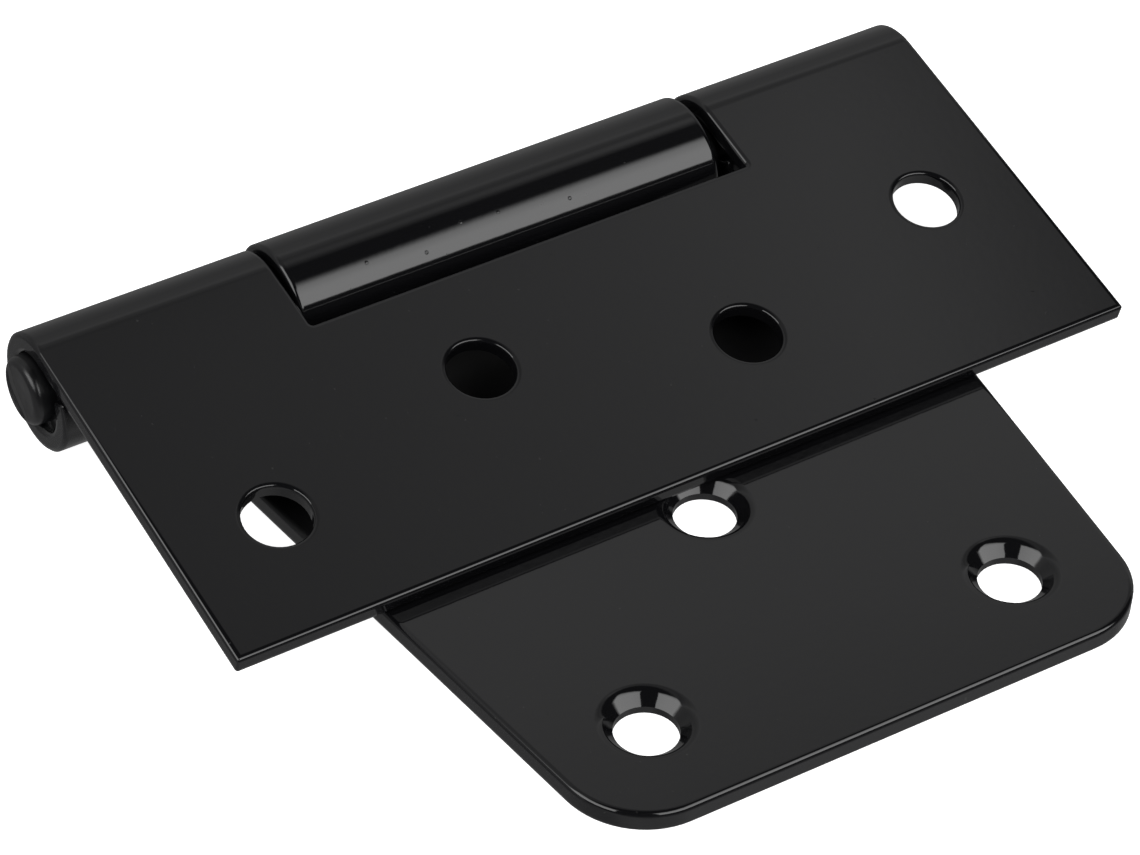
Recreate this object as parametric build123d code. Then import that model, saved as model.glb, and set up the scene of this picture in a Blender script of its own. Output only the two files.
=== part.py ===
from build123d import *
import math
import os

# Tee hinge: a cross leaf with two end knuckles, a strap leaf with one middle
# knuckle, and the pin that joins them. Millimetres, Z up, lying on the strap leaf.
# Each leaf is one sheet. Its outer face runs straight into its curled knuckles.

# Pin
pin_diameter = 8.0
pin_proud = 1.45               # how far each end stands out of the knuckles
pin_shoulder = 0.8             # how far inside the knuckles the full diameter ends
pin_nose_diameter = 6.9        # beyond the shoulder, where the pin was sheared off
pin_nose_back = 0.3            # the nose lies off the pin's axis, away from the leaves
pin_nose_up = 0.4
pin_end_round = 0.8

# Cross leaf
cross_length = 100.0           # along the pin
cross_sheet = 1.97
cross_reach = 38.27            # pin axis to the front edge
cutout_width = 50.0            # room for the middle knuckle
cutout_depth = 7.4             # pin axis to the bottom of the cut-out

# Strap leaf
strap_sheet = 2.21
strap_reach = 72.5             # pin axis to the outer edge
strap_shoulder = 7.4           # pin axis to the shoulders beside the knuckle
strap_root_width = 74.27       # at the shoulders
strap_end_width = 59.23        # at the outer edge, corners left out
strap_corner = 8.4
strap_drift = -0.42            # the strap leaf lies a little to one side of its play
strap_skew = 0.71              # degrees that its sheet lies out of square with its curl

# Fits and clearances
bore_clearance = 0.09          # all round the pin, in the middle knuckle
side_clearance = 1.0           # each side of the middle knuckle, when centred
curl_clearance = 0.4           # from the end of a curl to its own leaf
closed_clearance = 0.05        # from the closed front edge to the strap leaf

# Screw holes, each countersunk on the face that turns inwards when closed
cross_hole_diameter = 6.8
cross_sink_depth = 0.5
strap_hole_diameter = 6.1
strap_sink_depth = 1.25
sink_angle = 90.0
cross_pitch = 26.1             # along the pin
cross_row_shift = 0.25         # the cross leaf's holes lie a little to one side
cross_row_far = 25.65          # pin axis to the two far holes
cross_row_near = 18.65         # pin axis to the two near holes
strap_hole_near = 40.7         # pin axis to the single hole
strap_row_far = 61.85          # pin axis to the outer pair
strap_row_pitch = 40.15

# Edges
edge_break = 0.25              # bevel on every edge that the coat has rounded over
rim_break = 0.2                # the same on both ends of every screw hole
front_corner = 0.3             # on the cross leaf's front corners and the shoulders' ends
inner_corner = 0.4             # in the corners of the cut-out and beside the neck

# Worked out from the sizes above
pin_radius = pin_diameter / 2
cross_radius = pin_radius + cross_sheet
strap_bore = pin_radius + bore_clearance
strap_radius = strap_bore + strap_sheet
knuckle_width = cutout_width - 2 * side_clearance


# Screw holes of each leaf, as a place along the pin and a distance from it
cross_holes = [
    (cross_row_shift - 1.5 * cross_pitch, cross_row_far),
    (cross_row_shift - 0.5 * cross_pitch, cross_row_near),
    (cross_row_shift + 0.5 * cross_pitch, cross_row_far),
    (cross_row_shift + 1.5 * cross_pitch, cross_row_near),
]
strap_holes = [
    (-strap_row_pitch / 2, strap_row_far),
    (0.0, strap_hole_near),
    (strap_row_pitch / 2, strap_row_far),
]


def closed_slope():
    """Angle in degrees that the closed cross leaf slopes down to rest on the strap leaf."""
    reach = cross_reach - edge_break
    drop = strap_bore - closed_clearance
    turned = math.asin(drop / math.hypot(reach, pin_radius)) + math.atan2(pin_radius, reach)
    return math.degrees(turned)


def curled_section(bore, sheet, reach):
    """Section of a leaf whose lower face runs into a curl about the pin axis."""
    outer = bore + sheet
    turn = math.asin((bore - curl_clearance) / outer)
    far = 2 * outer
    curl = Circle(outer) - Circle(bore)
    mouth = Polygon(
        (0, 0),
        (-far * math.cos(turn), -far * math.sin(turn)),
        (-far, -far),
        (0, -far),
        align=None,
    )
    plate = Pos(-reach / 2, -bore - sheet / 2) * Rectangle(reach, sheet)
    return curl - mouth + plate


def curled_sheet(bore, sheet, reach, width):
    """A leaf of one section all along the pin, before its outline is cut."""
    section = Plane.YZ * curled_section(bore, sheet, reach)
    return Pos(-width / 2, 0, 0) * extrude(section, width)


def blanked(sheet, outline, height):
    """What is left of a curled sheet inside an outline seen from above."""
    return sheet & extrude(outline, height, both=True)


def roots_of(outline, side):
    """The two inner corners of an outline, where its steps beside the knuckles meet the plate."""
    beside = outline.vertices().filter_by(lambda v: abs(abs(v.X) - side) < 0.01)
    return beside.sort_by(Axis.Y)[:2]


def strap_outline():
    """The strap leaf from above: the knuckle's neck, shoulders and rounded outer corners."""
    back = 2 * strap_radius
    plate = make_face(
        Polyline(
            (-strap_root_width / 2, -strap_shoulder),
            (strap_root_width / 2, -strap_shoulder),
            (strap_end_width / 2, -strap_reach),
            (-strap_end_width / 2, -strap_reach),
            close=True,
        )
    )
    corners = plate.vertices().sort_by(Axis.Y)
    plate = fillet(corners[:2], strap_corner)
    plate = fillet(plate.vertices().sort_by(Axis.Y)[-2:], front_corner)
    plate = Rot(0, 0, -strap_skew) * plate
    neck_length = back + strap_shoulder + inner_corner
    neck = Pos(0, back - neck_length / 2) * Rectangle(knuckle_width, neck_length)
    outline = plate + neck
    return fillet(roots_of(outline, knuckle_width / 2), inner_corner)


def cross_outline():
    """The cross leaf from above: a rectangle with the cut-out for the middle knuckle."""
    back = 2 * cross_radius
    full = back + cross_reach
    plate = Pos(0, back - full / 2) * Rectangle(cross_length, full)
    room = back + cutout_depth
    cutout = Pos(0, back - room / 2) * Rectangle(cutout_width, room)
    outline = plate - cutout
    outline = fillet(roots_of(outline, cutout_width / 2), inner_corner)
    return fillet(outline.vertices().sort_by(Axis.Y)[:2], front_corner)


def screw_cutter(diameter, sink_depth, sheet):
    """A countersunk hole about Z through a sheet whose upper face is at the origin."""
    half = math.radians(sink_angle / 2)
    narrow = diameter / 2
    wide = narrow + sink_depth * math.tan(half)
    profile = Polyline(
        (0, sheet),
        (wide + rim_break, sheet),
        (wide + rim_break, 0),
        (wide - rim_break * math.sin(half), -rim_break * math.cos(half)),
        (narrow, -sink_depth),
        (narrow, rim_break - sheet),
        (narrow + rim_break, -sheet),
        (narrow + rim_break, -2 * sheet),
        (0, -2 * sheet),
        close=True,
    )
    return revolve(Plane.XZ * make_face(profile), Axis.Z)


def leaf(bore, sheet, outline, holes, cutter, skew=0.0):
    """A finished leaf in its own frame: pin axis on X, plate below it towards -Y."""
    box = outline.bounding_box()
    sheet_metal = curled_sheet(bore, sheet, -2 * box.min.Y, 2 * box.size.X)
    body = blanked(sheet_metal, outline, 4 * (bore + sheet))
    body = chamfer(body.edges(), edge_break)
    for x, distance in holes:
        body -= Rot(0, 0, -skew) * Pos(x, -distance, -bore) * cutter
    return body


def make_strap_leaf():
    """The strap leaf lies flat, with its knuckle in the middle of the pin."""
    cutter = screw_cutter(strap_hole_diameter, strap_sink_depth, strap_sheet)
    body = leaf(strap_bore, strap_sheet, strap_outline(), strap_holes, cutter, strap_skew)
    return Pos(strap_drift, 0, 0) * body


def make_cross_leaf():
    """The cross leaf is folded over the strap leaf until its front edge meets it."""
    cutter = screw_cutter(cross_hole_diameter, cross_sink_depth, cross_sheet)
    body = leaf(pin_radius, cross_sheet, cross_outline(), cross_holes, cutter)
    return Rot(closed_slope(), 0, 0) * mirror(body, about=Plane.XY)


def make_pin():
    """The pin is held in both end knuckles, and its sheared noses stand a little out."""
    rod = Cylinder(pin_radius, cross_length - 2 * pin_shoulder, rotation=(0, 90, 0))
    noses = Cylinder(pin_nose_diameter / 2, cross_length + 2 * pin_proud, rotation=(0, 90, 0))
    noses = fillet(noses.edges().filter_by(GeomType.CIRCLE), pin_end_round)
    return rod + Pos(0, pin_nose_back, pin_nose_up) * noses


def standing(pieces):
    """Where the pin axis goes, so that the origin is under the middle of the whole hinge."""
    box = Compound(pieces).bounding_box()
    middle = box.center()
    return Pos(-middle.X, -middle.Y, -box.min.Z)


def main():
    os.makedirs("parts", exist_ok=True)
    pieces = {
        "strap_leaf": make_strap_leaf(),
        "cross_leaf": make_cross_leaf(),
        "pin": make_pin(),
    }
    place = standing(pieces.values())
    for name, piece in pieces.items():
        export_step(place * piece, f"parts/{name}.step")


main()
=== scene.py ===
"""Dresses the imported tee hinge: a black coat over sheet steel, on a pale studio floor.

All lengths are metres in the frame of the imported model: X runs along the pin, Y from the
strap leaf's outer edge to the knuckles, and Z up from the floor.
"""

import logging
import math
from dataclasses import dataclass
from enum import Enum

import bmesh
import bpy
from mathutils import Matrix, Vector

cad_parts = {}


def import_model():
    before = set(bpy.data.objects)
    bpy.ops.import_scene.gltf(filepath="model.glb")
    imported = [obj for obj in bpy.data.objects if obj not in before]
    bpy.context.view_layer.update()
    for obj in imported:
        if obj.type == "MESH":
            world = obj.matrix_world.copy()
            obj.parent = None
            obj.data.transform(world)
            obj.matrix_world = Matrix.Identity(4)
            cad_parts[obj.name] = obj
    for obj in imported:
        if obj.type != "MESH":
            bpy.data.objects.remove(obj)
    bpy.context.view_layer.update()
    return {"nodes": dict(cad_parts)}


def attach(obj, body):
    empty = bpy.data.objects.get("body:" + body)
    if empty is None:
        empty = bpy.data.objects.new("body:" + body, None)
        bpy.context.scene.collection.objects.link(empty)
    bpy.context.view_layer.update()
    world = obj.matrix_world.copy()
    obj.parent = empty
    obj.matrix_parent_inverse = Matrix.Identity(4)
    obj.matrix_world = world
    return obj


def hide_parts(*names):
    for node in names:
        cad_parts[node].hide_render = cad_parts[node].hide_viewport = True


LOG = logging.getLogger("tee_hinge")
MM = 0.001


class Body(Enum):
    """The two moving bodies of the hinge."""

    STRAP = "strap"
    CROSS = "cross"


class Slot(Enum):
    """The record's material slots."""

    LEAF = "leaf_coat"
    PIN = "pin_coat"


class Flow:
    """A shader socket that takes part in arithmetic.

    Args:
        graph: The graph that makes the nodes.
        socket: The output socket that this value comes from.
    """

    def __init__(self, graph: "Graph", socket: bpy.types.NodeSocket) -> None:
        """Keeps the graph and the socket."""
        self.graph = graph
        self.socket = socket

    def _maths(self, operation: str, *operands: object) -> "Flow":
        """Adds one Math node.

        Args:
            operation: The Math node's operation.
            operands: Flows or numbers, in the order of the node's sockets.

        Returns:
            The result as a flow.
        """
        return self.graph.node("ShaderNodeMath", {"operation": operation}, dict(enumerate(operands)))

    def __add__(self, other: object) -> "Flow":
        """The sum."""
        return self._maths("ADD", self, other)

    def __radd__(self, other: object) -> "Flow":
        """The sum, with the number first."""
        return self._maths("ADD", other, self)

    def __sub__(self, other: object) -> "Flow":
        """The difference."""
        return self._maths("SUBTRACT", self, other)

    def __rsub__(self, other: object) -> "Flow":
        """The difference, with the number first."""
        return self._maths("SUBTRACT", other, self)

    def __mul__(self, other: object) -> "Flow":
        """The product."""
        return self._maths("MULTIPLY", self, other)

    def __rmul__(self, other: object) -> "Flow":
        """The product, with the number first."""
        return self._maths("MULTIPLY", other, self)

    def __truediv__(self, other: object) -> "Flow":
        """The quotient."""
        return self._maths("DIVIDE", self, other)

    def __rtruediv__(self, other: object) -> "Flow":
        """The quotient, with the number first."""
        return self._maths("DIVIDE", other, self)

    def __abs__(self) -> "Flow":
        """The value without its sign."""
        return self._maths("ABSOLUTE", self)

    def wrapped(self) -> "Flow":
        """The value less its whole ones, from 0 to 1."""
        return self._maths("WRAP", self, 1.0, 0.0)

    def arcsine(self) -> "Flow":
        """The angle whose sine this is, in radians."""
        return self._maths("ARCSINE", self)

    def turn(self, ahead: "Flow") -> "Flow":
        """The angle of a line that goes this far aside on its way ahead, in radians."""
        return self._maths("ARCTAN2", self, ahead)

    def between(self, low: float, high: float) -> "Flow":
        """A soft step from 0 at low to 1 at high.

        Args:
            low: The value that gives 0.
            high: The value that gives 1.

        Returns:
            The step as a flow.
        """
        return self.graph.node(
            "ShaderNodeMapRange",
            {"interpolation_type": "SMOOTHSTEP"},
            {"Value": self, "From Min": low, "From Max": high},
        )


class Graph:
    """A node tree that is filled by code.

    Args:
        tree: The tree to fill.
    """

    def __init__(self, tree: bpy.types.NodeTree) -> None:
        """Keeps the tree."""
        self.tree = tree

    @classmethod
    def of(cls, owner: bpy.types.ID) -> "Graph":
        """Empties the tree of a material or a world.

        Args:
            owner: The material or the world.

        Returns:
            A graph that fills the tree.
        """
        owner.use_nodes = True
        owner.node_tree.nodes.clear()
        return cls(owner.node_tree)

    def raw(self, kind: str, settings: dict, inputs: dict) -> bpy.types.Node:
        """Adds a node, sets it up and feeds its sockets.

        Args:
            kind: The node's type.
            settings: Attributes by name. A ramp's stops go under "stops".
            inputs: Flows or values by socket name or number. A list holds flows that
                go to the same socket.

        Returns:
            The node.
        """
        made = self.tree.nodes.new(kind)
        for name, value in settings.items():
            if name == "stops":
                self._stops(made, value)
            else:
                setattr(made, name, value)
        for key, value in inputs.items():
            target = made.inputs[key]
            if isinstance(value, Flow):
                self.tree.links.new(value.socket, target)
            elif isinstance(value, list):
                for part in value:
                    self.tree.links.new(part.socket, target)
            else:
                target.default_value = value
        return made

    def node(self, kind: str, settings: dict, inputs: dict, output: object = 0) -> Flow:
        """Adds a node and gives one of its outputs.

        Args:
            kind: The node's type.
            settings: Attributes by name.
            inputs: Flows or values by socket name or number.
            output: The name or number of the output wanted.

        Returns:
            The output as a flow.
        """
        return Flow(self, self.raw(kind, settings, inputs).outputs[output])

    def axes(self, vector: Flow) -> list[Flow]:
        """Takes a vector apart.

        Args:
            vector: The vector.

        Returns:
            Its X, Y and Z as three flows.
        """
        parts = self.raw("ShaderNodeSeparateXYZ", {}, {0: vector})
        return [Flow(self, parts.outputs[name]) for name in "XYZ"]

    def noise(self, place: Flow, size: float, detail: float) -> Flow:
        """Adds smooth noise.

        Args:
            place: The place on the object.
            size: About how wide its features are.
            detail: How many finer layers it has.

        Returns:
            The noise, from 0 to 1.
        """
        inputs = {"Vector": place, "Scale": 1.0 / size, "Detail": detail}
        return self.node("ShaderNodeTexNoise", {}, inputs)

    def relief(self, height: Flow, depth: float, under: Flow | None = None) -> Flow:
        """Adds a Bump node at full strength.

        Args:
            height: The height of the surface, as a share of the depth.
            depth: How far a height of 1 stands out.
            under: The normal that the relief is laid over.

        Returns:
            The normal.
        """
        inputs = {"Height": height, "Distance": depth, "Strength": 1.0}
        if under is not None:
            inputs["Normal"] = under
        return self.node("ShaderNodeBump", {}, inputs)

    @staticmethod
    def _stops(made: bpy.types.Node, stops: list) -> None:
        """Fills a colour ramp.

        Args:
            made: The ramp's node.
            stops: Pairs of a position and a grey value.
        """
        elements = made.color_ramp.elements
        while len(elements) > 1:
            elements.remove(elements[-1])
        for number, (position, grey) in enumerate(stops):
            stop = elements[0] if number == 0 else elements.new(position)
            stop.position = position
            stop.color = (grey, grey, grey, 1.0)


@dataclass(frozen=True)
class Crease:
    """A groove that the shears left across the pin's ends.

    Args:
        place: A point on it, as Y and Z.
        across: The direction across it, as Y and Z.
        width: Half its width.
        depth: How deep it is.
        waver_size: How long the bends are that make it uneven.
    """

    place: tuple[float, float]
    across: tuple[float, float]
    width: float
    depth: float
    waver_size: float = 2.5 * MM

    def height(self, graph: Graph, place: Flow) -> Flow:
        """Finds the height of the surface, as a share of the depth.

        Args:
            graph: The graph that makes the nodes.
            place: The place on the object.

        Returns:
            The height, 0 at the bottom of the groove and 1 beside it.
        """
        _, back, up = graph.axes(place)
        aside = (back - self.place[0]) * self.across[0] + (up - self.place[1]) * self.across[1]
        waver = graph.noise(place, self.waver_size, detail=1.0) - 0.5
        return abs(aside + waver * (2 * self.width)).between(0.0, self.width)


@dataclass(frozen=True)
class Cover:
    """The part of a plate that the other leaf covered while the closed hinge was coated.

    Args:
        start: The Y where the covered part begins.
        fade: How far the coat takes to turn dull there.
        face: The height of the plate's upper face.
        margin: How far over and under that face the dull coat reaches.
        dulling: How much rougher the coat is.
    """

    start: float
    fade: float
    face: float
    margin: float
    dulling: float

    def roughness(self, graph: Graph, place: Flow) -> Flow:
        """Finds how much roughness to add.

        Args:
            graph: The graph that makes the nodes.
            place: The place on the object.

        Returns:
            The roughness to add.
        """
        _, back, up = graph.axes(place)
        above = up.between(self.face + self.margin, self.face + 2 * self.margin)
        level = up.between(self.face - 2 * self.margin, self.face - self.margin) * (1.0 - above)
        return back.between(self.start, self.start + self.fade) * level * self.dulling


@dataclass(frozen=True)
class Dust:
    """Pale specks in a coat, too fine to stand out of it.

    Args:
        size: How wide the noise is that spreads them.
        start: The value of that noise where a speck begins.
        full: The value where it is whole.
        grey: The grey of a speck.
        share: How much of that grey shows through the coat.
        dulling: How much rougher a speck makes the coat.
    """

    size: float = 0.45 * MM
    start: float = 0.86
    full: float = 0.89
    grey: float = 0.05
    share: float = 0.35
    dulling: float = 0.15

    def specks(self, graph: Graph, place: Flow) -> Flow:
        """Spreads the specks.

        Args:
            graph: The graph that makes the nodes.
            place: The place on the object.

        Returns:
            1 on a speck and 0 off it.
        """
        return graph.noise(place, self.size, detail=0.0).between(self.start, self.full)


@dataclass(frozen=True)
class Coat:
    """A gloss coat over steel, with its peel, sag and dust.

    Args:
        name: The material's name.
        colour: The coat's own colour.
        drift_size: The width of the slow changes in tone and roughness.
        tone_swing: How far the tone drifts either way, as a share of the colour.
        roughness: The mean roughness.
        roughness_swing: How far the roughness drifts either way.
        fine_size: The width of the quick changes in roughness.
        peel_size: The width of one dimple of the peel.
        peel_height: How deep the peel is.
        sag_size: The width of one slow wave of the coat.
        sag_height: How high the slow waves are.
        dust: The fine specks in it.
        crease: A groove under the coat, if there is one.
        cover: Where the coat is dull, if it is dull anywhere.
    """

    name: str
    colour: tuple[float, float, float] = (0.0042, 0.0042, 0.0048)
    drift_size: float = 22.0 * MM
    tone_swing: float = 0.15
    roughness: float = 0.07
    roughness_swing: float = 0.015
    fine_size: float = 1.6 * MM
    peel_size: float = 0.9 * MM
    peel_height: float = 0.0022 * MM
    sag_size: float = 14.0 * MM
    sag_height: float = 0.012 * MM
    dust: Dust = Dust()
    crease: Crease | None = None
    cover: Cover | None = None

    def _colour(self, graph: Graph, drift: Flow, specks: Flow) -> Flow:
        """Mixes the coat's colour with the dust.

        Args:
            graph: The graph that makes the nodes.
            drift: The slow noise.
            specks: Where the dust is.

        Returns:
            The colour.
        """
        tone = (1.0 - self.tone_swing) + drift * (2 * self.tone_swing)
        toned = graph.node("ShaderNodeVectorMath", {"operation": "SCALE"}, {0: self.colour, "Scale": tone})
        grey = (self.dust.grey, self.dust.grey, self.dust.grey, 1.0)
        inputs = {"Factor": specks * self.dust.share, "A": toned, "B": grey}
        return graph.node("ShaderNodeMix", {"data_type": "RGBA"}, inputs, "Result")

    def _rough(self, graph: Graph, place: Flow, drift: Flow, specks: Flow) -> Flow:
        """Adds up what makes the coat rough.

        Args:
            graph: The graph that makes the nodes.
            place: The place on the object.
            drift: The slow noise.
            specks: Where the dust is.

        Returns:
            The roughness.
        """
        fine = graph.noise(place, self.fine_size, detail=2.0)
        rough = self.roughness + (drift - 0.5) * (2 * self.roughness_swing)
        rough = rough + (fine - 0.5) * self.roughness_swing + specks * self.dust.dulling
        if self.cover:
            rough = rough + self.cover.roughness(graph, place)
        return rough

    def _normal(self, graph: Graph, place: Flow) -> Flow:
        """Lays the peel, the sag and the crease over each other.

        Args:
            graph: The graph that makes the nodes.
            place: The place on the object.

        Returns:
            The normal.
        """
        peel = graph.relief(graph.noise(place, self.peel_size, detail=1.0), self.peel_height)
        sag = graph.relief(graph.noise(place, self.sag_size, detail=0.0), self.sag_height, peel)
        if not self.crease:
            return sag
        return graph.relief(self.crease.height(graph, place), self.crease.depth, sag)

    def material(self) -> bpy.types.Material:
        """Builds the coat.

        Returns:
            The material.
        """
        made = bpy.data.materials.new(self.name)
        graph = Graph.of(made)
        place = graph.node("ShaderNodeTexCoord", {}, {}, "Object")
        drift = graph.noise(place, self.drift_size, detail=3.0)
        specks = self.dust.specks(graph, place)
        shader = graph.node(
            "ShaderNodeBsdfPrincipled",
            {},
            {
                "Base Color": self._colour(graph, drift, specks),
                "Roughness": self._rough(graph, place, drift, specks),
                "Normal": self._normal(graph, place),
            },
        )
        graph.raw("ShaderNodeOutputMaterial", {}, {"Surface": shader})
        return made


def piece_of(name: str, mesh: bpy.types.Mesh) -> bpy.types.Object:
    """Puts a mesh into the scene as an object at the origin.

    Args:
        name: The object's name.
        mesh: Its mesh.

    Returns:
        The object.
    """
    made = bpy.data.objects.new(name, mesh)
    bpy.context.scene.collection.objects.link(made)
    return made


def plain_mesh(subject: bpy.types.Object) -> None:
    """Applies an object's modifiers, so that it keeps a plain mesh.

    Args:
        subject: The object.
    """
    graph = bpy.context.evaluated_depsgraph_get()
    result = bpy.data.meshes.new_from_object(subject.evaluated_get(graph))
    subject.modifiers.clear()
    subject.data = result


@dataclass(frozen=True)
class Nibs:
    """Specks of dust caught under a leaf's coat, each a low round bump.

    Args:
        places: Where single nibs sit, near the surface, in millimetres.
        per_area: How many more are scattered, for each square metre.
        width: The width of a common nib.
        height: How far a common nib stands out.
        smallest: The size of the smallest nib, as a share of a common one.
        largest: The size of the largest nib, as a share of a common one.
        lowest: Scattered nibs keep above this height.
        highest: Scattered nibs keep below this height.
        upright: Scattered nibs keep to surfaces whose normal has more Z than this.
        seed: The seed of the scatter.
    """

    places: tuple[tuple[float, float, float], ...] = ()
    per_area: float = 3000.0
    width: float = 0.24 * MM
    height: float = 0.03 * MM
    smallest: float = 0.5
    largest: float = 1.3
    lowest: float = 2.0 * MM
    highest: float = 11.0 * MM
    upright: float = 0.5
    seed: int = 3

    def _scattered(self, graph: Graph, skin: Flow, given: dict[str, Flow]) -> Flow:
        """Scatters points over the upper side of the surface.

        Args:
            graph: The graph that makes the nodes.
            skin: The surface.
            given: The group's inputs by name.

        Returns:
            The points.
        """

        def more(left: object, right: object) -> Flow:
            """True where the left is more than the right."""
            return graph.node("FunctionNodeCompare", {"operation": "GREATER_THAN"}, {0: left, 1: right})

        def both(left: Flow, right: Flow) -> Flow:
            """True where both are true."""
            return graph.node("FunctionNodeBooleanMath", {"operation": "AND"}, {0: left, 1: right})

        _, _, level = graph.axes(graph.node("GeometryNodeInputPosition", {}, {}))
        _, _, facing_up = graph.axes(graph.node("GeometryNodeInputNormal", {}, {}))
        inside = both(more(level, given["Lowest"]), more(given["Highest"], level))
        return graph.node(
            "GeometryNodeDistributePointsOnFaces",
            {"distribute_method": "RANDOM"},
            {
                "Mesh": skin,
                "Selection": both(inside, more(facing_up, self.upright)),
                "Density": given["Density"],
                "Seed": given["Seed"],
            },
            "Points",
        )

    def _bumps(self, graph: Graph, skin: Flow, points: list[Flow], given: dict[str, Flow]) -> Flow:
        """Sets a bump on the surface at every point.

        Args:
            graph: The graph that makes the nodes.
            skin: The surface.
            points: Sets of points near the surface.
            given: The group's inputs by name.

        Returns:
            The bumps, still as instances.
        """
        places = graph.node("GeometryNodeJoinGeometry", {}, {0: points})
        here = graph.node("GeometryNodeInputPosition", {}, {})
        foot = graph.node(
            "GeometryNodeProximity",
            {"target_element": "FACES"},
            {0: skin, "Sample Position": here},
            "Position",
        )
        seated = graph.node("GeometryNodeSetPosition", {}, {"Geometry": places, "Position": foot})
        facing = graph.node(
            "GeometryNodeSampleNearestSurface",
            {"data_type": "FLOAT_VECTOR"},
            {"Mesh": skin, "Value": graph.node("GeometryNodeInputNormal", {}, {}), "Sample Position": here},
        )
        turn = graph.node("FunctionNodeAlignRotationToVector", {"axis": "Z"}, {"Vector": facing})
        ball = graph.node("GeometryNodeMeshIcoSphere", {}, {"Radius": 0.5, "Subdivisions": 3})
        # Only the upper half of a ball stands out of the coat.
        width = given["Width"]
        size = graph.node("ShaderNodeCombineXYZ", {}, {"X": width, "Y": width, "Z": given["Height"] * 2.0})
        # The node's output 1 is a number. Its output 0 is a vector.
        share = graph.node(
            "FunctionNodeRandomValue",
            {"data_type": "FLOAT"},
            {"Min": self.smallest, "Max": self.largest, "Seed": given["Seed"]},
            output=1,
        )
        scale = graph.node("ShaderNodeVectorMath", {"operation": "SCALE"}, {0: size, "Scale": share})
        return graph.node(
            "GeometryNodeInstanceOnPoints",
            {},
            {"Points": seated, "Instance": ball, "Rotation": turn, "Scale": scale},
        )

    def tree(self, coat: bpy.types.Material) -> bpy.types.NodeTree:
        """Builds the node group that finds the places and sets the bumps there.

        Args:
            coat: The material that the bumps get.

        Returns:
            The node group.
        """
        group = bpy.data.node_groups.new("paint_nibs", "GeometryNodeTree")
        face = group.interface
        face.new_socket("Geometry", in_out="INPUT", socket_type="NodeSocketGeometry")
        for name in ("Density", "Width", "Height", "Lowest", "Highest"):
            face.new_socket(name, in_out="INPUT", socket_type="NodeSocketFloat")
        face.new_socket("Seed", in_out="INPUT", socket_type="NodeSocketInt")
        face.new_socket("Single Places", in_out="INPUT", socket_type="NodeSocketObject")
        face.new_socket("Geometry", in_out="OUTPUT", socket_type="NodeSocketGeometry")
        graph = Graph(group)
        sockets = graph.raw("NodeGroupInput", {}, {}).outputs
        given = {socket.name: Flow(graph, socket) for socket in sockets if socket.name}
        skin = given["Geometry"]
        scattered = self._scattered(graph, skin, given)
        single = graph.node("GeometryNodeObjectInfo", {}, {"Object": given["Single Places"]}, "Geometry")
        marked = graph.node("GeometryNodeMeshToPoints", {}, {"Mesh": single})
        bumps = self._bumps(graph, skin, [marked, scattered], given)
        real = graph.node("GeometryNodeRealizeInstances", {}, {"Geometry": bumps})
        smooth = graph.node("GeometryNodeSetShadeSmooth", {}, {"Geometry": real})
        done = graph.node("GeometryNodeSetMaterial", {}, {"Geometry": smooth, "Material": coat})
        graph.raw("NodeGroupOutput", {}, {0: done})
        return group

    def build(self, skin: bpy.types.Object, coat: bpy.types.Material) -> bpy.types.Object:
        """Sets the nibs on a leaf.

        Args:
            skin: The leaf's visible surface.
            coat: Its material.

        Returns:
            One piece with all the bumps.
        """
        mesh = bpy.data.meshes.new("nib_places")
        mesh.from_pydata([Vector(place) * MM for place in self.places], [], [])
        single = piece_of("nib_places", mesh)
        made = piece_of(skin.name.replace("skin", "nibs"), skin.data.copy())
        group = self.tree(coat)
        scatter = made.modifiers.new("nibs", "NODES")
        scatter.node_group = group
        wanted = {
            "Density": self.per_area,
            "Width": self.width,
            "Height": self.height,
            "Lowest": self.lowest,
            "Highest": self.highest,
            "Seed": self.seed,
            "Single Places": single,
        }
        for item in group.interface.items_tree:
            if item.in_out == "INPUT" and item.name in wanted:
                scatter[item.identifier] = wanted[item.name]
        plain_mesh(made)
        bpy.data.objects.remove(single)
        return made


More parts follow.
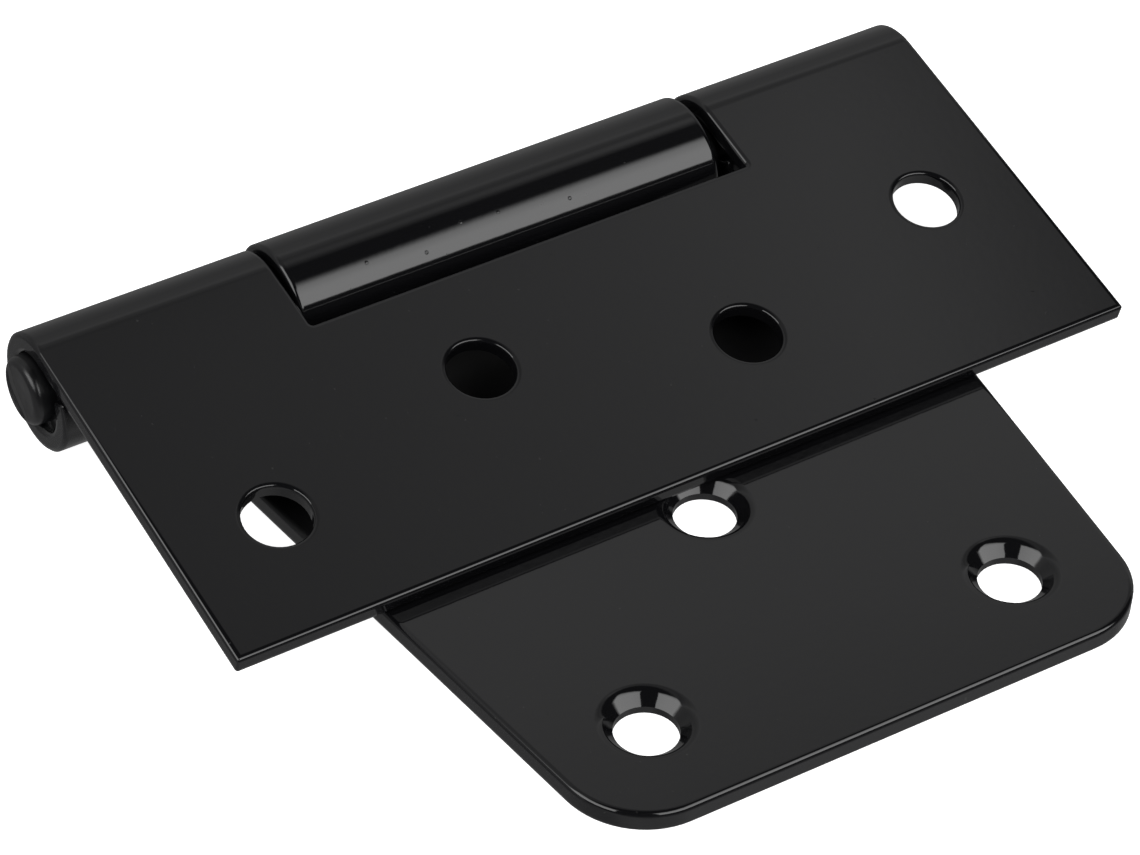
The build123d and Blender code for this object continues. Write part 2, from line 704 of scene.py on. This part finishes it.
class Rounding:
    """Turns the narrow bevels of a solid into soft, rounded edges.

    The faces fall into patches, each a run of faces with no edge between them. A
    bevel is a narrow patch. Every broad patch gets a thin border, over which its
    normals begin to lean towards the bevel. They lean less at the bevel of a hole's
    rim, which is a short ring whose faces turn away from each other.

    Args:
        mesh: A joined mesh, with its loose faces already merged.
        border: How wide the border of a broad patch is.
    """

    # Faces that meet at less than this angle belong to one patch.
    SEAM = math.radians(17.0)
    # A patch is a bevel if it is narrower than this.
    NARROW = 0.42 * MM
    # How far the normals at a bevel lean towards it, from 0 to 1, and at a ring.
    LEAN = 0.6
    RING_LEAN = 0.35
    # In a ring, the faces' areas add up as vectors to less than this share of their sum.
    RING = 0.8
    # A ring's two edges together are shorter than this.
    RING_OUTLINE = 60.0 * MM
    # A border takes up no more than this share of its patch's width.
    SHARE = 0.22

    def __init__(self, mesh: bpy.types.Mesh, border: float) -> None:
        """Reads the mesh and finds its patches."""
        self.mesh = mesh
        self.border = border
        self.shape = bmesh.new()
        self.shape.from_mesh(mesh)
        self.mark = self.shape.faces.layers.int.new("patch")
        self.width = [0.0]
        self.rings = set()
        for face in self.shape.faces:
            if not face[self.mark]:
                self._flood(face)

    def _flood(self, start: bmesh.types.BMFace) -> None:
        """Marks all faces that run on smoothly from one, and measures how wide they are.

        Args:
            start: A face of no patch yet.
        """
        number = len(self.width)
        start[self.mark] = number
        waiting = [start]
        area = outline = 0.0
        facing = Vector((0.0, 0.0, 0.0))
        while waiting:
            face = waiting.pop()
            area += face.calc_area()
            facing += face.normal * face.calc_area()
            for edge in face.edges:
                for other in edge.link_faces:
                    if other is face:
                        continue
                    if face.normal.angle(other.normal, math.pi) > self.SEAM:
                        outline += edge.calc_length()
                    elif not other[self.mark]:
                        other[self.mark] = number
                        waiting.append(other)
        self.width.append(2 * area / outline if outline else math.inf)
        if facing.length < self.RING * area and outline < self.RING_OUTLINE:
            self.rings.add(number)

    def _add_borders(self) -> None:
        """Gives every broad patch its border."""
        for number, width in enumerate(self.width):
            if width < self.NARROW or math.isinf(width):
                continue
            faces = [face for face in self.shape.faces if face[self.mark] == number]
            thickness = min(self.border, self.SHARE * width)
            made = bmesh.ops.inset_region(
                self.shape, faces=faces, thickness=thickness, use_boundary=True, use_even_offset=True
            )
            for face in made["faces"]:
                face[self.mark] = number
                face.smooth = True

    def _about(self, vertex: bmesh.types.BMVert, numbers: set[int]) -> Vector:
        """The mean normal of some patches about a vertex, by the areas of their faces.

        Args:
            vertex: The vertex.
            numbers: The patches.

        Returns:
            The normal, not scaled to one.
        """
        total = Vector((0.0, 0.0, 0.0))
        for loop in vertex.link_loops:
            if loop.face[self.mark] in numbers:
                total += loop.face.normal * loop.face.calc_area()
        return total

    def _normal(self, vertex: bmesh.types.BMVert, own: int) -> Vector:
        """The normal of a face corner.

        Args:
            vertex: The vertex at the corner.
            own: The patch of the face.

        Returns:
            The normal.
        """
        numbers = {face[self.mark] for face in vertex.link_faces}
        bevels = {number for number in numbers if self.width[number] < self.NARROW}
        number = own
        if own in bevels:
            broad = numbers - bevels
            if not broad:
                return self._about(vertex, bevels).normalized()
            number = max(broad, key=lambda item: self._about(vertex, {item}).length)
        flat = self._about(vertex, {number}).normalized()
        if not bevels:
            return flat
        bent = self._about(vertex, bevels).normalized()
        lean = self.RING_LEAN if bevels & self.rings else self.LEAN
        return flat.lerp(bent, lean).normalized()

    def apply(self) -> None:
        """Adds the borders and writes the normals of all face corners into the mesh."""
        if self.border > 0:
            self._add_borders()
        self.shape.normal_update()
        self.shape.to_mesh(self.mesh)
        self.shape.faces.ensure_lookup_table()
        normals = [
            self._normal(loop.vert, face[self.mark]) for face in self.shape.faces for loop in face.loops
        ]
        self.mesh.normals_split_custom_set(normals)
        self.shape.free()


@dataclass
class Skin:
    """The visible surface of a sheet or turned piece, from its CAD solid.

    Args:
        node: The CAD node that it stands for.
        body: The body that it rides on.
        slot: A material slot of the record. It is not used.
        coat: The coat.
        nibs: The specks under the coat, if it has any.
        border: How far the soft edges reach beyond their bevels.
        tiny: Runs of edges shorter than this shrink to one corner, to leave room for
            the soft edges.
    """

    # Corners nearer to each other than this are one corner.
    JOIN = 0.0001 * MM
    # Corners of a run shrink to one if they are at most this many tiny edges apart.
    RUN = 5

    node: str
    body: Body
    slot: Slot
    coat: Coat
    nibs: Nibs | None = None
    border: float = 0.3 * MM
    tiny: float = 0.016 * MM

    def build(self, source: bpy.types.Object) -> bpy.types.Object:
        """Joins the solid's loose faces and sets their normals.

        Args:
            source: The CAD node's object.

        Returns:
            The visible piece.
        """
        mesh = source.data.copy()
        mesh.name = f"{self.node}_skin"
        shape = bmesh.new()
        shape.from_mesh(mesh)
        bmesh.ops.remove_doubles(shape, verts=shape.verts, dist=self.JOIN)
        corners = [
            corner
            for corner in shape.verts
            if any(edge.calc_length() < self.tiny for edge in corner.link_edges)
        ]
        bmesh.ops.remove_doubles(shape, verts=corners, dist=self.RUN * self.tiny)
        bmesh.ops.dissolve_degenerate(shape, edges=shape.edges, dist=self.JOIN)
        for face in shape.faces:
            face.smooth = True
        shape.to_mesh(mesh)
        shape.free()
        Rounding(mesh, self.border).apply()
        return piece_of(f"{self.node}_skin", mesh)

    def dress(self, made: bpy.types.Object) -> list[bpy.types.Object]:
        """Gives the piece its coat and its nibs, and ties both to the frame.

        Args:
            made: The visible piece.

        Returns:
            The piece and its nibs.
        """
        coat = self.coat.material()
        made.data.materials.clear()
        made.data.materials.append(coat)
        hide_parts(self.node)
        pieces = [made]
        if self.nibs:
            pieces.append(self.nibs.build(made, coat))
        for piece in pieces:
            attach(piece, self.body.value)
        return pieces


@dataclass
class CrossLeaf(Skin):
    """The folded leaf with the two end knuckles."""

    node: str = "cross_leaf"
    body: Body = Body.CROSS
    slot: Slot = Slot.LEAF
    coat: Coat = Coat("black_cross_coat")
    nibs: Nibs = Nibs(
        places=(
            (-37.2, 27.0, 11.1),
            (-46.2, 25.1, 10.7),
            (-28.0, 21.3, 9.9),
            (-43.0, 4.0, 6.1),
            (-32.7, 12.6, 8.0),
            (-29.3, 13.2, 8.1),
            (-17.8, 10.0, 7.4),
            (-34.2, 15.0, 8.5),
        ),
    )


@dataclass
class StrapLeaf(Skin):
    """The lying leaf with the middle knuckle."""

    node: str = "strap_leaf"
    body: Body = Body.STRAP
    slot: Slot = Slot.LEAF
    coat: Coat = Coat(
        "black_strap_coat",
        cover=Cover(start=3.0 * MM, fade=4.0 * MM, face=2.21 * MM, margin=0.3 * MM, dulling=0.5),
    )
    nibs: Nibs = Nibs(
        places=(
            (-16.2, 29.4, 11.3),
            (-9.9, 28.6, 10.6),
            (-5.3, 29.9, 11.6),
            (-1.2, 29.6, 11.5),
            (6.6, 28.8, 10.7),
        ),
        width=0.34 * MM,
        height=0.045 * MM,
        per_area=1200.0,
    )


@dataclass
class HingePin(Skin):
    """The pin, whose two sheared noses show."""

    node: str = "pin"
    body: Body = Body.CROSS
    slot: Slot = Slot.PIN
    coat: Coat = Coat(
        "black_pin_coat",
        roughness=0.3,
        peel_size=1.6 * MM,
        peel_height=0.05 * MM,
        sag_size=4.0 * MM,
        sag_height=0.3 * MM,
        crease=Crease(
            place=(34.35 * MM, 5.8 * MM),
            across=(-0.676, 0.737),
            width=0.8 * MM,
            depth=0.4 * MM,
        ),
    )
    border: float = 0.0
    tiny: float = 0.0


@dataclass(frozen=True)
class Viewpoint:
    """Where the camera stands and how it is turned, in degrees and metres.

    Args:
        place: The camera's place.
        yaw: Turn from +Y, positive to the left.
        pitch: Tilt from the horizon, positive up.
        roll: Turn about the line of sight.
        focal: Focal length in pixels of the picture.
        picture_width: Width of the picture in pixels.
        sensor_width: Width of the sensor in millimetres.
        nearest: Nothing nearer to the camera than this shows.
    """

    place: tuple[float, float, float] = (-0.191049, -0.254565, 0.287973)
    yaw: float = -35.151
    pitch: float = -41.654
    roll: float = -3.784
    focal: float = 4509.7
    picture_width: float = 1140.0
    sensor_width: float = 36.0
    nearest: float = 0.01

    def build(self) -> None:
        """Builds the camera and makes it the scene's own."""
        lens = bpy.data.cameras.new("camera")
        lens.sensor_width = self.sensor_width
        lens.lens = self.focal / self.picture_width * self.sensor_width
        lens.clip_start = self.nearest
        made = bpy.data.objects.new("camera", lens)
        bpy.context.scene.collection.objects.link(made)
        turn = (
            Matrix.Rotation(math.radians(self.yaw), 4, "Z")
            @ Matrix.Rotation(math.radians(self.pitch), 4, "X")
            @ Matrix.Rotation(math.radians(self.roll), 4, "Y")
        )
        level = Matrix.Rotation(math.pi / 2, 4, "X")
        made.matrix_world = Matrix.Translation(self.place) @ turn @ level
        bpy.context.scene.camera = made


@dataclass(frozen=True)
class Panel:
    """A bright panel in the surroundings.

    Bearings are degrees from the level line back to the camera, seen from above.
    Heights are degrees over the horizon.

    Args:
        side: 1 for a panel to the right of the line, -1 for one to the left.
        near: The bearing where the panel begins.
        far: The bearing where it ends.
        low: The height of its lower edge.
        high: The height of its upper edge.
        blur: Half the width of the near and lower edges.
        far_blur: Half the width of the softer far and upper edges.
        fade: The share of its light that it has lost at the upper edge.
        grey: How bright it is.
        line: The level line back to the camera, as X and Y.
    """

    side: float
    near: float = 24.0
    far: float = 88.0
    low: float = 22.0
    high: float = 55.0
    blur: float = 1.0
    far_blur: float = 5.0
    fade: float = 0.25
    grey: float = 3.9
    line: tuple[float, float] = (-0.579, -0.816)

    def over(self, sky: Flow, way: list[Flow]) -> Flow:
        """Lays the panel over the sky.

        Args:
            sky: The grey without the panel.
            way: The direction's X, Y and Z.

        Returns:
            The grey with the panel.
        """
        across, back, up = way
        along = across * self.line[0] + back * self.line[1]
        aside = back * self.line[0] - across * self.line[1]
        bearing = aside.turn(along) * (self.side * math.degrees(1.0))
        height = up.arcsine() * math.degrees(1.0)
        cover = bearing.between(self.near - self.blur, self.near + self.blur)
        cover = cover * (1.0 - bearing.between(self.far - self.far_blur, self.far + self.far_blur))
        cover = cover * height.between(self.low - self.blur, self.low + self.blur)
        cover = cover * (1.0 - height.between(self.high - self.far_blur, self.high + self.far_blur))
        light = self.grey * (1.0 - self.fade * height.between((self.low + self.high) / 2, self.high))
        return sky + cover * (light - sky)


@dataclass(frozen=True)
class Sky:
    """Surroundings whose grey changes with the angle over the front horizon.

    The angle runs in the plane across the pin: 0 is the horizon in front, 90 is
    overhead, 180 is the horizon behind and 270 is straight down.

    Args:
        stops: Pairs of an angle in degrees and a grey, up to one.
        panels: The bright panels in front.
        ceiling: Pairs of a direction's X and a factor for the grey overhead.
        ceiling_end: The angle where the ceiling's own pattern fades out.
        ceiling_blur: Half the width of that fade.
    """

    stops: tuple[tuple[float, float], ...] = (
        (0.0, 0.07),
        (12.0, 0.05),
        (20.0, 0.03),
        (96.0, 0.03),
        (107.0, 0.50),
        (111.0, 0.50),
        (117.0, 0.32),
        (124.0, 0.38),
        (130.0, 0.58),
        (136.0, 0.46),
        (150.0, 0.34),
        (184.0, 0.28),
        (205.0, 0.16),
        (227.0, 0.18),
        (234.0, 0.24),
        (289.0, 0.24),
        (308.0, 0.42),
        (330.0, 0.28),
        (346.0, 0.12),
    )
    panels: tuple[Panel, ...] = (Panel(1.0, far=92.0), Panel(-1.0, far=84.0))
    ceiling: tuple[tuple[float, float], ...] = (
        (0.34, 0.66),
        (0.40, 0.84),
        (0.45, 1.02),
        (0.50, 1.30),
        (0.545, 0.62),
    )
    ceiling_end: float = 117.0
    ceiling_blur: float = 5.0

    # A ramp's grey stops at one, so the ceiling's factors are this many times smaller in it.
    HEADROOM = 2.0

    def build(self) -> None:
        """Makes the scene's world."""
        world = bpy.data.worlds.new("studio")
        graph = Graph.of(world)
        way = graph.axes(graph.node("ShaderNodeTexCoord", {}, {}, "Generated"))
        across, back, up = way
        share = (up.turn(0.0 - back) / math.tau).wrapped()
        stops = [(angle / 360.0, grey) for angle, grey in self.stops]
        grey = graph.node("ShaderNodeValToRGB", {"stops": stops}, {"Fac": share})
        factors = [(place, factor / self.HEADROOM) for place, factor in self.ceiling]
        pattern = graph.node("ShaderNodeValToRGB", {"stops": factors}, {"Fac": across}) * self.HEADROOM
        first = (self.ceiling_end - self.ceiling_blur) / 360.0
        last = (self.ceiling_end + self.ceiling_blur) / 360.0
        grey = grey * (1.0 + (pattern - 1.0) * (1.0 - share.between(first, last)))
        for panel in self.panels:
            grey = panel.over(grey, way)
        shader = graph.node("ShaderNodeBackground", {}, {"Color": (1.0, 1.0, 1.0, 1.0), "Strength": grey})
        graph.raw("ShaderNodeOutputWorld", {}, {"Surface": shader})
        bpy.context.scene.world = world


@dataclass
class Studio:
    """The pale floor and the surroundings.

    Args:
        sky: The surroundings.
        floor_side: The floor's size.
        floor_drop: How far the floor lies under the hinge.
        floor_grey: The grey of its paper.
        floor_glow: Light that the floor gives by itself, as a lit table does.
        floor_roughness: The least roughness of the paper.
        floor_roughness_swing: How much rougher it is at the most.
        floor_grain: The width of one fleck of its grain.
    """

    sky: Sky = Sky()
    floor_side: float = 6.0
    floor_drop: float = 0.02 * MM
    floor_grey: float = 0.93
    floor_glow: float = 1.0
    floor_roughness: float = 0.85
    floor_roughness_swing: float = 0.1
    floor_grain: float = 1.0 / 900.0

    def _paper(self) -> bpy.types.Material:
        """Builds the floor's material.

        Returns:
            The material.
        """
        made = bpy.data.materials.new("floor_paper")
        graph = Graph.of(made)
        place = graph.node("ShaderNodeTexCoord", {}, {}, "Object")
        grain = graph.noise(place, self.floor_grain, detail=2.0)
        shader = graph.node(
            "ShaderNodeBsdfPrincipled",
            {},
            {
                "Base Color": (self.floor_grey, self.floor_grey, self.floor_grey, 1.0),
                "Roughness": self.floor_roughness + grain * self.floor_roughness_swing,
                "Emission Color": (1.0, 1.0, 1.0, 1.0),
                "Emission Strength": self.floor_glow,
            },
        )
        graph.raw("ShaderNodeOutputMaterial", {}, {"Surface": shader})
        return made

    def _floor(self) -> None:
        """Builds the floor, which shows no mirror image in the hinge."""
        mesh = bpy.data.meshes.new("floor")
        half = self.floor_side / 2
        flat = ((-half, -half), (half, -half), (half, half), (-half, half))
        corners = [(x, y, -self.floor_drop) for x, y in flat]
        mesh.from_pydata(corners, [], [(0, 1, 2, 3)])
        made = piece_of("floor", mesh)
        mesh.materials.append(self._paper())
        made.visible_glossy = False

    def build(self) -> None:
        """Builds the floor and the surroundings."""
        self._floor()
        self.sky.build()
        bpy.context.scene.view_settings.view_transform = "Standard"


def main() -> None:
    """Builds the hinge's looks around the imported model."""
    logging.basicConfig(level=logging.INFO, format="%(name)s %(message)s")
    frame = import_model()
    for skin in (CrossLeaf(), StrapLeaf(), HingePin()):
        for piece in skin.dress(skin.build(frame["nodes"][skin.node])):
            LOG.info("%s: %d faces on %s", piece.name, len(piece.data.polygons), skin.body.value)
    Viewpoint().build()
    Studio().build()


if __name__ == "__main__":
    main()
